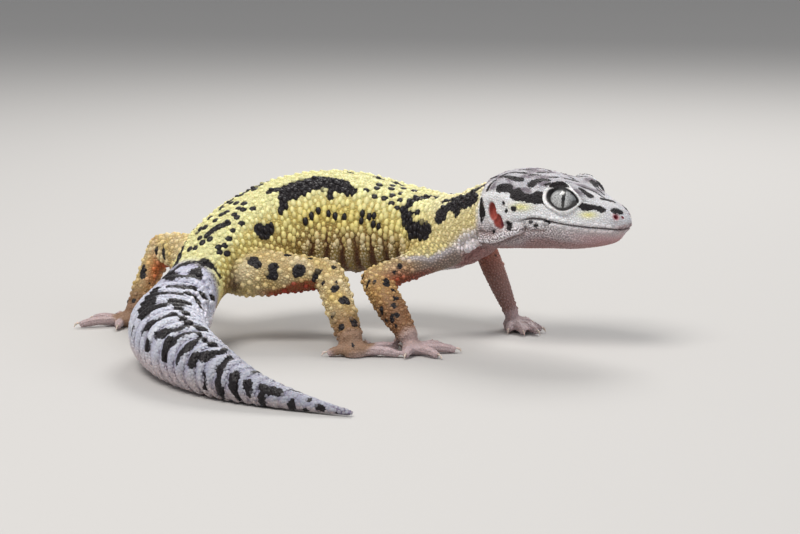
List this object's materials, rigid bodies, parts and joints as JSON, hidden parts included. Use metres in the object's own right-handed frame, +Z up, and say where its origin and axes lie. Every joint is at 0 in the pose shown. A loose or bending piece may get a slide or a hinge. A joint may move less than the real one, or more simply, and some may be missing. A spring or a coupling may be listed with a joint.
{
  "type": "leopard gecko",
  "caption": "Life-size leopard gecko standing still, head raised and turned, one forefoot forward, with its fat ringed tail curled round on the floor.",
  "frame": {"origin": "middle of the bounding box at floor level, between the feet and the tail", "axes": "+Z up from the floor; +X from the hind feet towards the head, along the animal's longest extent; +Y from its right side to its left"},
  "size_m": [0.117, 0.1008, 0.0367],
  "materials": {
    "head_skin": "fine matte scales, white-grey with dark brown marks",
    "body_skin": "matte beaded scales, pale yellow with purple-black marks",
    "tail_skin": "matte beaded scales in rings, white-lavender with black marks",
    "leg_skin": "matte beaded scales, tan-yellow with dark spots",
    "foot_skin": "fine matte scales, pinkish white",
    "eye": "wet gloss, silver-grey iris with a black upright slit",
    "claw": "satin translucent horn"
  },
  "bodies": {
    "root": {"tail_tip": "tail_skin", "tail_rear": "tail_skin", "tail_middle": "tail_skin", "tail_root": "tail_skin", "pelvis": "body_skin", "trunk": "body_skin", "chest": "body_skin", "eye_right": "eye", "eye_left": "eye", "head": "head_skin", "lower_jaw": "head_skin", "neck": "body_skin", "upper_arm_front_right": "leg_skin", "forearm_front_right": "leg_skin", "claw_front_right_1": "claw", "claw_front_right_2": "claw", "claw_front_right_3": "claw", "claw_front_right_4": "claw", "claw_front_right_5": "claw", "hand_front_right": "foot_skin", "upper_arm_front_left": "leg_skin", "forearm_front_left": "leg_skin", "claw_front_left_1": "claw", "claw_front_left_2": "claw", "claw_front_left_3": "claw", "claw_front_left_4": "claw", "claw_front_left_5": "claw", "hand_front_left": "foot_skin", "thigh_hind_right": "leg_skin", "shin_hind_right": "leg_skin", "claw_hind_right_1": "claw", "claw_hind_right_2": "claw", "claw_hind_right_3": "claw", "claw_hind_right_4": "claw", "claw_hind_right_5": "claw", "foot_hind_right": "foot_skin", "thigh_hind_left": "leg_skin", "shin_hind_left": "leg_skin", "claw_hind_left_1": "claw", "claw_hind_left_2": "claw", "claw_hind_left_3": "claw", "claw_hind_left_4": "claw", "claw_hind_left_5": "claw", "foot_hind_left": "foot_skin"}
  },
  "joints": []
}
